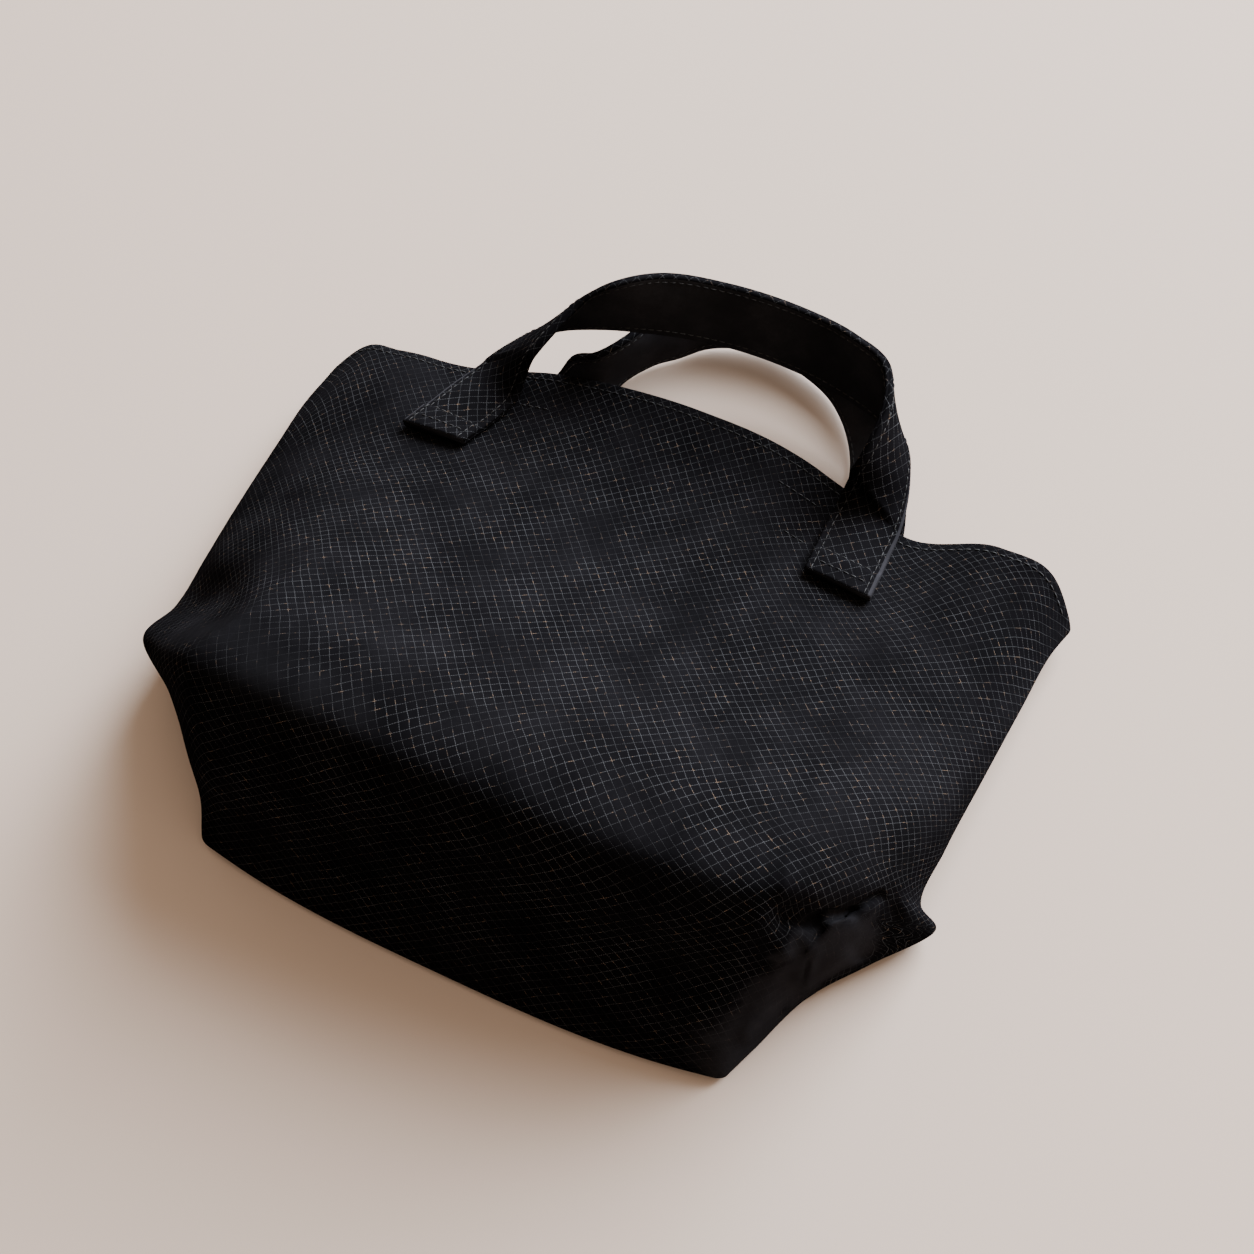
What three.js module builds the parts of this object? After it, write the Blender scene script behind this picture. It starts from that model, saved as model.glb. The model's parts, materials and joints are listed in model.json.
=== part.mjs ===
import * as THREE from 'three';

// A small soft leather tote bag lying on its back: base towards -Y, rim and handles towards +Y.
// Millimetres, +Z up. The origin is in the middle of the flat back panel, where the bag rests.

const leather = { wall: 1.5, hemThick: 3.0, hemDepth: 8 };
const strapSize = { width: 26, thick: 3.2, endThick: 4.6, endFold: 10, corner: 0.8, gap: 0.4 };
const restMiddleY = 95; // from the base's floor edge to the origin
const finish = { color: 0x15161a, roughness: 0.92, metalness: 0 };

// The front and the base are one sheet. Each row of this table is one line across it:
//   along       way along the sheet from the floor edge, over the ridge (102), to the rim (295)
//   xLeft ..    where the line's two ends stand, which are the folds at the bag's sides
//   yLeft ..    how far from the base the line lies, at its ends and in the middle
//   zLeft ..    height of the side folds
//   topLeft ..  height of the sheet two thirds of the way out, and in the middle
//   turn ..     share of the half width at which the sheet starts to turn down to the fold
//   round ..    1 turns down straight, 2 turns down as a quarter ellipse
const sheet = {
  along:    [0, 28, 56, 82, 102, 122, 152, 196, 242, 273, 295],
  xLeft:    [-104.5, -109.5, -118, -134, -153.5, -154.5, -154, -152.5, -151, -150, -147],
  xRight:   [105, 111.5, 121.5, 137, 152, 145, 146, 149, 152.5, 155, 158.5],
  yLeft:    [-4, 9.5, 22, 41, 55, 72, 93, 117, 146, 169, 184],
  yMiddle:  [-10, 5, 19, 31.5, 45, 64.5, 90, 126, 167, 197, 218],
  yRight:   [-3.5, 11, 33, 51.5, 69, 75, 94, 120, 150, 172, 184],
  zLeft:    [3, 8, 15, 22, 26, 16, 14, 14, 13, 11, 9],
  zRight:   [3, 4, 6, 8, 9, 14, 16, 16, 14, 11, 9],
  topLeft:  [3, 27, 51, 73, 88, 88, 78, 56, 33, 21, 15],
  topMiddle: [3, 27, 51, 73.5, 89, 88, 71, 43, 23, 16.5, 16],
  topRight: [3, 25, 47, 64, 74, 72, 60, 43, 27, 19, 15],
  turnLeft: [0.95, 0.82, 0.76, 0.70, 0.62, 0.55, 0.52, 0.50, 0.50, 0.60, 0.90],
  turnRight: [0.95, 0.84, 0.80, 0.76, 0.72, 0.72, 0.70, 0.62, 0.58, 0.65, 0.90],
  roundLeft: [2.0, 1.4, 1.3, 1.2, 1.1, 1.1, 1.2, 1.4, 1.6, 1.8, 2.0],
  roundRight: [2.0, 1.5, 1.4, 1.2, 1.0, 1.5, 1.9, 1.9, 1.7, 1.8, 2.0],
};
const outThird = 0.68; // where topLeft and topRight are taken, as a share of the half width
const sideBend = 3; // power with which a line bends from its middle to its ends
const floorCorner = 5.5; // radius of the corners at the two ends of the floor edge
const ridgeAlong = 102;
const rimAlong = 295;

// The front rim waves in and out: the handles hold it in, and it stands out beside them.
const rimWave = {
  across: [-1, -0.93, -0.82, -0.64, -0.35, 0, 0.25, 0.42, 0.60, 0.80, 0.94, 1],
  out:    [0, 7.5, 3.3, -4, -2, 0, -3.7, -9.5, -15, 2.5, 7, 0.5],
  start: 204,
};

// The back panel lies flat, and is held up a little near its rim by the back handle's ends.
const backPanel = {
  along: [0, 102, 295],
  yMiddle: [-10, 60, 189],
  edgeRadius: 4,
  foldSpread: 1.3, // width of the turn-up at the side folds, in fold heights
  foldLeast: 6,
  lift: 5.2,
  liftFrom: 196,
  liftTo: 242,
};

// Creases (down) and folds (up) of the crushed lower corners: a line in plan from "from" to "to".
const creases = [
  { name: 'corner pit', from: [111, 48.5], to: [117, 51.5], spread: 4, rise: -7 },
  { name: 'overhang, lower part', from: [118, 53], to: [128, 60], spread: 3, rise: -2 },
  { name: 'overhang, upper part', from: [128, 60], to: [136, 70], spread: 3, rise: -2 },
  { name: 'corner seam groove', from: [117.5, 44], to: [118, 36], spread: 3, rise: -1.5 },
  { name: 'base side fold', from: [114.5, 39], to: [109.5, 14], spread: 3, rise: 3 },
  { name: 'ear valley', from: [138, 66], to: [134, 52], spread: 4, rise: -6 },
  { name: 'left valley', from: [-136, 77], to: [-114, 78], spread: 10, rise: -5 },
];
// The folded flap of the boxed corner: a raised pad in plan, with its corners in clockwise order.
const flap = {
  corners: [[122.5, 53], [134.5, 68.5], [131.3, 53], [127.5, 41], [121, 35], [119.5, 44]],
  edge: 2.2,
  rise: 3,
};
const creaseEdge = { fadeFrom: 0.96, floorFade: 10, leastHeight: 1.5 };

// The inside follows the outside, drawn in from the folds, and closes where front and back meet.
const inside = {
  inset: 6,
  fromFloorEdge: 9,
  sidePower: 8,
  floorEase: 30,
  creaseReach: 11,
  cornerExtra: 3.5, // the crushed corners are doubled leather, so the hollow keeps further away there
  cornerFrom: 0.5,
  cornerFull: 0.75,
  cornerEnds: [135, 195],
};

// Stretches of grid lines: [from, to, steps]. Steps are even numbers, as the inside takes every other line.
const acrossRuns = [[-1, -0.78, 8], [-0.78, 0.60, 18], [0.60, 1, 18]];
const alongRuns = [
  [0, 8, 4], [8, 56, 6], [56, 126, 16], [126, 196, 6],
  [196, 242, 6], [242, 271, 4], [271, 287, 2], [287, 295, 2],
];

// Handle stations: [inner or lower edge x, y, z, outer or upper edge x, y, z], from left end to right end.
const frontHandle = [
  [-97, 168.5, 22, -71, 169.5, 22],
  [-94, 180, 20, -68.5, 178, 21],
  [-88.3, 197, 17, -64.5, 191, 23],
  [-82, 209, 19, -61, 200.5, 32],
  [-73.5, 217.5, 22, -56.5, 208, 39.5],
  [-61.5, 224.5, 26, -46.5, 229, 46],
  [-40.5, 229.5, 31, -34, 236, 55.5],
  [-20.5, 234, 31, -19.5, 246, 54],
  [5, 240.5, 25, 4, 253.5, 47.5],
  [30.5, 242, 20, 32.5, 255.5, 42.5],
  [52, 238, 20, 53, 251.5, 43],
  [70, 232, 21, 69, 242.5, 45],
  [81.5, 225.5, 22, 74.5, 226.5, 47],
  [88, 214, 20, 72.5, 208.5, 40.5],
  [90.3, 202.5, 18, 69, 201.5, 30],
  [92, 188, 18, 66.5, 190, 19],
  [92.5, 165, 20, 66.5, 168, 20],
];
const backHandle = [
  [-58, 157, 2, -84, 157, 2],
  [-57, 175, 2, -83, 177, 2],
  [-51, 194, 2, -75, 202, 2],
  [-45, 201.5, 2, -68, 209, 2],
  [-38, 209, 2, -60, 217, 2],
  [-35.5, 223, 2, -38.5, 221.5, 26],
  [-26.5, 235, 2, -30.5, 231.5, 27.5],
  [-17.5, 241.5, 2, -23.5, 245, 27],
  [-9, 248.5, 2, -14, 255.5, 26.5],
  [12, 254, 2, 10, 263.5, 26],
  [32, 250, 2, 37.5, 262.5, 24],
  [46, 243, 2, 58.5, 252.5, 23],
  [56, 233, 2, 72, 239.5, 21.5],
  [63, 220, 2, 83, 223.5, 18.5],
  [66, 207, 2, 89, 207, 12],
  [66, 193, 2, 92, 194, 2],
  [66, 186, 2, 92, 186.5, 2],
  [66, 157, 2, 92, 157, 2],
];
const handleSteps = 56;
const handleAcross = [-0.5, -0.25, 0, 0.25, 0.5];
const sewnLength = 22; // how much of each front handle end is sewn down flat
const leaveLength = 50; // and where it has fully left the panel

// Smooth line through points: a cubic in each step, its slopes weighed from the steps on both sides.
function smoothLine(xs, ys, x) {
  const last = xs.length - 1;
  const at = Math.min(Math.max(x, xs[0]), xs[last]);
  let i = 0;
  while (i < last - 1 && at >= xs[i + 1]) i += 1;
  const slope = (k) => (ys[k + 1] - ys[k]) / (xs[k + 1] - xs[k]);
  const tangent = (k) => {
    if (k === 0) return slope(0);
    if (k === last) return slope(last - 1);
    const before = xs[k] - xs[k - 1];
    const after = xs[k + 1] - xs[k];
    return (slope(k - 1) * after + slope(k) * before) / (before + after);
  };
  const h = xs[i + 1] - xs[i];
  const u = (at - xs[i]) / h;
  const u2 = u * u;
  const u3 = u2 * u;
  return (2 * u3 - 3 * u2 + 1) * ys[i] + (u3 - 2 * u2 + u) * h * tangent(i)
    + (3 * u2 - 2 * u3) * ys[i + 1] + (u3 - u2) * h * tangent(i + 1);
}

// 0 before a, 1 after b, an easy S between.
function ease(a, b, x) {
  const u = Math.min(Math.max((x - a) / (b - a), 0), 1);
  return u * u * (3 - 2 * u);
}

function fromSheet(name, along) {
  return smoothLine(sheet.along, sheet[name], along);
}

// Rise of the creases and the flap at a place in plan.
function creaseRise(x, y) {
  let rise = 0;
  for (const crease of creases) {
    const dx = crease.to[0] - crease.from[0];
    const dy = crease.to[1] - crease.from[1];
    const lx = x - crease.from[0];
    const ly = y - crease.from[1];
    const u = Math.min(Math.max((lx * dx + ly * dy) / (dx * dx + dy * dy), 0), 1);
    const off = (lx - u * dx) ** 2 + (ly - u * dy) ** 2;
    rise += crease.rise * Math.exp(-off / crease.spread ** 2);
  }
  return rise + flapRise(x, y);
}

function flapRise(x, y) {
  let within = Infinity;
  flap.corners.forEach(([fromX, fromY], i) => {
    const [toX, toY] = flap.corners[(i + 1) % flap.corners.length];
    const [dx, dy] = [toX - fromX, toY - fromY];
    within = Math.min(within, (dy * (x - fromX) - dx * (y - fromY)) / Math.hypot(dx, dy));
  });
  return flap.rise * ease(-flap.edge, flap.edge, within);
}

// Half the sheet's width at a distance along it; the corners at the floor edge are rounded off.
function halfWidth(across, along) {
  const half = across > 0 ? fromSheet('xRight', along) : -fromSheet('xLeft', along);
  const nearCorner = Math.min(Math.max(1 - along / floorCorner, 0), 1);
  return half - floorCorner * (1 - Math.sqrt(1 - nearCorner ** 2));
}

// Outside of the base and front panel. across runs from -1 (left fold) to 1 (right fold).
function frontPoint(across, along, creased = true) {
  const side = across > 0 ? 'Right' : 'Left';
  const out = Math.abs(across);
  const x = across * halfWidth(across, along);
  const middle = fromSheet('yMiddle', along);
  const y = middle + (fromSheet('y' + side, along) - middle) * out ** sideBend
    + smoothLine(rimWave.across, rimWave.out, across) * ease(rimWave.start, rimAlong, along);
  const left = fromSheet('topLeft', along);
  const top = fromSheet('topMiddle', along);
  const right = fromSheet('topRight', along);
  const held = Math.min(Math.max(across / outThird, -1), 1);
  const crown = top + (right - left) / 2 * held + ((right + left) / 2 - top) * held * held;
  const turn = fromSheet('turn' + side, along);
  const power = fromSheet('round' + side, along);
  const way = Math.min(Math.max((out - turn) / (1 - turn), 0), 1);
  const fold = fromSheet('z' + side, along);
  let z = fold + (crown - fold) * (1 - way ** power) ** (1 / power);
  if (creased) {
    z += creaseRise(x, y) * (1 - ease(creaseEdge.fadeFrom, 1, out)) * ease(0, creaseEdge.floorFade, along);
  }
  return new THREE.Vector3(x, y, Math.max(z, creaseEdge.leastHeight));
}

// Outside of the back panel, with the same two folds and the same floor edge.
function backPoint(across, along) {
  const side = across > 0 ? 'Right' : 'Left';
  const out = Math.abs(across);
  const half = halfWidth(across, along);
  const middle = smoothLine(backPanel.along, backPanel.yMiddle, along);
  const y = middle + (fromSheet('y' + side, along) - middle) * out ** sideBend;
  const fold = fromSheet('z' + side, along);
  const spread = backPanel.foldSpread * Math.max(fold, backPanel.foldLeast) / half;
  const way = Math.min(Math.max((out - 1 + spread) / spread, 0), 1);
  const edge = fold * (1 - Math.sqrt(1 - way * way));
  const nearFloorEdge = Math.min(Math.max(1 - along / backPanel.edgeRadius, 0), 1);
  const bend = sheet.zLeft[0] * (1 - Math.sqrt(1 - nearFloorEdge ** 2));
  const lift = backPanel.lift * ease(backPanel.liftFrom, backPanel.liftTo, along);
  return new THREE.Vector3(across * half, y, Math.max(edge, bend, lift));
}

function surfaceNormal(surface, across, along) {
  const step = 0.004;
  const ahead = surface(Math.min(across + step, 1), along).sub(surface(Math.max(across - step, -1), along));
  const up = surface(across, Math.min(along + 1, rimAlong)).sub(surface(across, Math.max(along - 1, 0)));
  return ahead.cross(up).normalize();
}

// Deepest crease near a place, so that the inside stays clear of it.
function deepestCrease(x, y) {
  let rise = 0;
  for (let i = -1; i <= 1; i += 0.5) {
    for (let j = -1; j <= 1; j += 0.5) {
      rise = Math.min(rise, creaseRise(x + i * inside.creaseReach, y + j * inside.creaseReach));
    }
  }
  return rise;
}

// The inside points of front and back at one grid place.
function insidePair(across, along) {
  const at = inside.fromFloorEdge + along * (rimAlong - inside.fromFloorEdge) / rimAlong;
  const in_ = across * (1 - inside.inset / halfWidth(across, at));
  const hem = along >= rimAlong - leather.hemDepth;
  const [farEnd, gone] = inside.cornerEnds;
  const corner = ease(inside.cornerFrom, inside.cornerFull, Math.abs(across)) * (1 - ease(farEnd, gone, along));
  const thick = (hem ? leather.hemThick : leather.wall) + corner * inside.cornerExtra;
  const plain = (a, b) => frontPoint(a, b, false);
  const front = plain(in_, at);
  front.addScaledVector(surfaceNormal(plain, in_, at), -thick);
  front.z += deepestCrease(front.x, front.y);
  const back = backPoint(in_, at);
  back.z += hem ? leather.hemThick : leather.wall;
  const middle = front.clone().add(back).multiplyScalar(0.5);
  const open = Math.sqrt(1 - Math.abs(across) ** inside.sidePower)
    * Math.sqrt(1 - (1 - Math.min(along / inside.floorEase, 1)) ** 2);
  return { front: middle.clone().lerp(front, open), back: middle.clone().lerp(back, open) };
}

function stations(runs) {
  const list = [runs[0][0]];
  for (const [from, to, steps] of runs) {
    for (let i = 1; i <= steps; i += 1) list.push(from + (to - from) * i / steps);
  }
  return list;
}

// Collects shared vertices and triangles.
class Skin {
  constructor() {
    this.points = [];
    this.faces = [];
  }

  add(point) {
    this.points.push(point.x, point.y, point.z);
    return this.points.length / 3 - 1;
  }

  quad(a, b, c, d) {
    for (const face of [[a, b, c], [a, c, d]]) this.triangle(...face);
  }

  triangle(a, b, c) {
    if (a !== b && b !== c && c !== a) this.faces.push(a, b, c);
  }

  geometry() {
    const geometry = new THREE.BufferGeometry();
    geometry.setAttribute('position', new THREE.Float32BufferAttribute(this.points, 3));
    geometry.setIndex(this.faces);
    geometry.computeVertexNormals();
    return geometry;
  }
}

// Adds a front and a back grid that share their side folds and their floor edge.
function addPocket(skin, across, along, pointPair) {
  const front = [];
  const back = [];
  across.forEach((a, i) => {
    front.push([]);
    back.push([]);
    along.forEach((b, j) => {
      const pair = pointPair(a, b);
      const shared = i === 0 || i === across.length - 1 || j === 0;
      front[i].push(skin.add(pair.front));
      back[i].push(shared ? front[i][j] : skin.add(pair.back));
    });
  });
  return { front, back };
}

function coverPocket(skin, pocket, outward) {
  for (let i = 0; i + 1 < pocket.front.length; i += 1) {
    for (let j = 0; j + 1 < pocket.front[i].length; j += 1) {
      for (const [grid, up] of [[pocket.front, outward], [pocket.back, !outward]]) {
        const corners = [grid[i][j], grid[i + 1][j], grid[i + 1][j + 1], grid[i][j + 1]];
        if (up) skin.quad(...corners);
        else skin.quad(...corners.reverse());
      }
    }
  }
}

// Closes the rim between the outside grid and the inside grid, which has half as many lines.
function closeRim(skin, outerRow, innerRow, flip) {
  const put = (a, b, c) => (flip ? skin.triangle(a, c, b) : skin.triangle(a, b, c));
  for (let k = 0; k + 1 < innerRow.length; k += 1) {
    const [first, mid, last] = outerRow.slice(2 * k, 2 * k + 3);
    put(first, mid, innerRow[k]);
    put(mid, innerRow[k + 1], innerRow[k]);
    put(mid, last, innerRow[k + 1]);
  }
}

function bagBody() {
  const skin = new Skin();
  const across = stations(acrossRuns);
  const along = stations(alongRuns);
  const everyOther = (list) => list.filter((value, i) => i % 2 === 0);
  const outer = addPocket(skin, across, along, (a, b) => ({ front: frontPoint(a, b), back: backPoint(a, b) }));
  const inner = addPocket(skin, everyOther(across), everyOther(along), insidePair);
  coverPocket(skin, outer, true);
  coverPocket(skin, inner, false);
  const rimOf = (grid) => grid.map((line) => line[line.length - 1]);
  closeRim(skin, rimOf(outer.front), rimOf(inner.front), false);
  closeRim(skin, rimOf(outer.back), rimOf(inner.back), true);
  return skin.geometry();
}

// Finds the front panel's grid place under a place in plan; along stays at the rim beyond the panel.
function placeOnFront(x, y) {
  let across = x / halfWidth(x, rimAlong);
  let along = rimAlong;
  for (let round = 0; round < 6; round += 1) {
    let low = ridgeAlong;
    let high = rimAlong;
    for (let i = 0; i < 20; i += 1) {
      along = (low + high) / 2;
      if (frontPoint(across, along, false).y < y) low = along;
      else high = along;
    }
    across = x / halfWidth(x, along);
  }
  return { across, along };
}

// A flat strap through its stations. laid is true where its ends are sewn on the front panel.
function handleStrap(rows, laid) {
  const inner = rows.map((row) => new THREE.Vector3(...row.slice(0, 3)));
  const outer = rows.map((row) => new THREE.Vector3(...row.slice(3)));
  const middles = inner.map((point, i) => point.clone().lerp(outer[i], 0.5));
  const sides = inner.map((point, i) => outer[i].clone().sub(point).normalize());
  const runs = [0];
  for (let i = 1; i < middles.length; i += 1) runs.push(runs[i - 1] + middles[i].distanceTo(middles[i - 1]));
  const total = runs[runs.length - 1];
  const through = (points, at) => new THREE.Vector3(
    ...['x', 'y', 'z'].map((axis) => smoothLine(runs, points.map((point) => point[axis]), at)),
  );
  const skin = new Skin();
  const rings = [];
  for (let i = 0; i <= handleSteps; i += 1) {
    const at = total * i / handleSteps;
    const middle = through(middles, at);
    const heading = through(middles, Math.min(at + 1, total)).sub(through(middles, Math.max(at - 1, 0)));
    const side = through(sides, at).normalize();
    const normal = side.clone().cross(heading).normalize();
    const toEnd = Math.min(at, total - at);
    const fold = strapSize.endFold;
    const thick = strapSize.thick + (strapSize.endThick - strapSize.thick) * (1 - ease(fold, fold + 4, toEnd));
    const held = laid ? 1 - ease(sewnLength, leaveLength, toEnd) : 0;
    rings.push(strapRing(skin, middle, side, normal, thick, held, laid));
  }
  for (let i = 0; i + 1 < rings.length; i += 1) {
    const count = rings[i].length;
    for (let k = 0; k < count; k += 1) {
      const next = (k + 1) % count;
      skin.quad(rings[i][k], rings[i + 1][k], rings[i + 1][next], rings[i][next]);
    }
  }
  capRing(skin, rings[0], false);
  capRing(skin, rings[rings.length - 1], true);
  return skin.geometry();
}

// One ring of the strap: a flat oblong with its corners cut, laid on the panel or on the table.
function strapRing(skin, middle, side, normal, thick, held, laid) {
  const lower = handleAcross.map((part) => [part * strapSize.width, -thick / 2]);
  const upper = handleAcross.map((part) => [part * strapSize.width, thick / 2]).reverse();
  const cut = strapSize.corner;
  const lastPart = handleAcross.length - 1;
  const shape = [
    [lower[0][0], lower[0][1] + cut], [lower[0][0] + cut, lower[0][1]], ...lower.slice(1, lastPart),
    [upper[0][0] - cut, lower[0][1]], [upper[0][0], lower[0][1] + cut],
    [upper[0][0], upper[0][1] - cut], [upper[0][0] - cut, upper[0][1]], ...upper.slice(1, lastPart),
    [lower[0][0] + cut, upper[0][1]], [lower[0][0], upper[0][1] - cut],
  ];
  const points = shape.map(([u, v]) => {
    const point = middle.clone().addScaledVector(side, u).addScaledVector(normal, v);
    if (!laid) return point;
    const place = placeOnFront(point.x, point.y);
    if (place.along > rimAlong - 0.1) return point;
    const resting = frontPoint(place.across, place.along).z + strapSize.gap + thick / 2 + v;
    point.z = Math.max(held * resting + (1 - held) * point.z, resting - thick / 2 - v);
    return point;
  });
  const lowest = Math.min(...points.map((point) => point.z));
  const raise = Math.max(0.1 - lowest, 0);
  return points.map((point) => skin.add(point.setZ(point.z + raise)));
}

function capRing(skin, ring, far) {
  const count = ring.length;
  for (let k = 0; k < count / 2 - 1; k += 1) {
    const corners = [ring[k], ring[k + 1], ring[count - 2 - k], ring[count - 1 - k]];
    if (far) skin.quad(...corners.reverse());
    else skin.quad(...corners);
  }
}

function piece(name, geometry) {
  const mesh = new THREE.Mesh(geometry, new THREE.MeshStandardMaterial(finish));
  mesh.name = name;
  return mesh;
}

const bag = new THREE.Group();
bag.add(piece('bag_body', bagBody()));
bag.add(piece('front_handle', handleStrap(frontHandle, true)));
bag.add(piece('back_handle', handleStrap(backHandle, false)));
bag.position.y = -restMiddleY;

export default bag;
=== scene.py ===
import json
import math
import bmesh
import bpy
import numpy as np
from mathutils import Matrix, Vector

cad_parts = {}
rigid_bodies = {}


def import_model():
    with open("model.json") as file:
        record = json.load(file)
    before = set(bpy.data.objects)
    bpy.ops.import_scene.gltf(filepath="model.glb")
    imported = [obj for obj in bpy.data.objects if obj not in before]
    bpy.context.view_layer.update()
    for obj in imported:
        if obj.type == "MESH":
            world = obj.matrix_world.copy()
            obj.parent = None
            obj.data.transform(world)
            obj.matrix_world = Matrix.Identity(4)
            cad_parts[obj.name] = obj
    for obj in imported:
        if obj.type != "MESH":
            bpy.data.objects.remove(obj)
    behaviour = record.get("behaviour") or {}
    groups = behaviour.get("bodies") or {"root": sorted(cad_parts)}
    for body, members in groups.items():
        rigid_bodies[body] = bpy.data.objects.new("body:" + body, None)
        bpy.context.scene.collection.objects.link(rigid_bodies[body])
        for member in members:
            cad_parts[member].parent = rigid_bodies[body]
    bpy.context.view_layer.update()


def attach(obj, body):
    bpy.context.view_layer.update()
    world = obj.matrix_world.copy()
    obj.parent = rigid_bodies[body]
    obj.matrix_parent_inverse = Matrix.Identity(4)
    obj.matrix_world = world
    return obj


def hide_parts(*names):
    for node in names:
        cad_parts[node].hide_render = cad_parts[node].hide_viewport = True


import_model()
mm = 0.001
mergeWithin = 1e-6
restMiddleY = 95  # from the base's floor edge to the origin

# A small black leather tote lying on its back. Its shapes are worked out in millimetres, with Y from
# the base's floor edge, and go into the meshes in metres with Y from the origin.

# camera
viewFrom = {
    "place": (0.1675, -0.0971, 0.5187),
    "right": (0.8977, 0.4066, -0.1695),
    "up": (-0.3369, 0.8815, 0.3306),
    "forward": (-0.2839, 0.2397, -0.9284),
    "lens": 43.06,
    "sensor": 36.0,
    "nearest": 0.01,
}


def addCamera():
    data = bpy.data.cameras.new("photoView")
    data.lens = viewFrom["lens"]
    data.sensor_width = viewFrom["sensor"]
    data.clip_start = viewFrom["nearest"]
    camera = bpy.data.objects.new("photoView", data)
    bpy.context.scene.collection.objects.link(camera)
    right, up = Vector(viewFrom["right"]), Vector(viewFrom["up"])
    back = -Vector(viewFrom["forward"])
    turn = Matrix((right, up, back)).transposed().to_4x4()
    camera.matrix_world = Matrix.Translation(Vector(viewFrom["place"])) @ turn
    bpy.context.scene.camera = camera
    print("camera set")


addCamera()


# lines, easing and noise

def smoothLine(xs, ys, x):
    # a cubic in each step, its slopes at the points weighed from the steps on both sides
    xs, ys = np.asarray(xs, float), np.asarray(ys, float)
    x = np.clip(x, xs[0], xs[-1])
    step = np.diff(xs)
    slope = np.diff(ys) / step
    tangent = np.concatenate([slope[:1], np.zeros(len(xs) - 2), slope[-1:]])
    tangent[1:-1] = (slope[:-1] * step[1:] + slope[1:] * step[:-1]) / (step[:-1] + step[1:])
    i = np.clip(np.searchsorted(xs, x, side="right") - 1, 0, len(step) - 1)
    u = (x - xs[i]) / step[i]
    u2, u3 = u * u, u * u * u
    ends = (2 * u3 - 3 * u2 + 1) * ys[i] + (3 * u2 - 2 * u3) * ys[i + 1]
    return ends + step[i] * ((u3 - 2 * u2 + u) * tangent[i] + (u3 - u2) * tangent[i + 1])


def ease(a, b, x):
    # 0 before a, 1 after b, an easy S between
    u = np.clip((np.asarray(x, float) - a) / (b - a), 0, 1)
    return u * u * (3 - 2 * u)


def softNoise(u, v, size, seed):
    # random heights from -1 to 1 at the corners of squares of this size, eased between them
    many = 64  # squares each way before the heights repeat
    heights = np.random.default_rng(seed).uniform(-1, 1, (many, many))
    a, b = u / size, v / size
    i, j = np.floor(a).astype(int), np.floor(b).astype(int)
    s, t = ease(0, 1, a - i), ease(0, 1, b - j)
    i, iNext, j, jNext = i % many, (i + 1) % many, j % many, (j + 1) % many
    near = heights[i, j] * (1 - t) + heights[i, jNext] * t
    far = heights[iNext, j] * (1 - t) + heights[iNext, jNext] * t
    return near * (1 - s) + far * s


def lineBump(x, y, start, end, spread):
    # 1 on the line from start to end, falling off as a bell curve on both sides
    dx, dy = end[0] - start[0], end[1] - start[1]
    u = np.clip(((x - start[0]) * dx + (y - start[1]) * dy) / (dx * dx + dy * dy), 0, 1)
    off = (x - start[0] - u * dx) ** 2 + (y - start[1] - u * dy) ** 2
    return np.exp(-off / spread ** 2)


def stations(runs):
    # even steps in each stretch of (from, to, steps), without repeating the ends
    return np.concatenate([[runs[0][0]]] + [np.linspace(a, b, n + 1)[1:] for a, b, n in runs])


def unit(vectors):
    return vectors / np.maximum(np.linalg.norm(vectors, axis=-1, keepdims=True), 1e-9)


def gridNormals(points):
    return unit(np.cross(np.gradient(points, axis=0), np.gradient(points, axis=1)))


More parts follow.
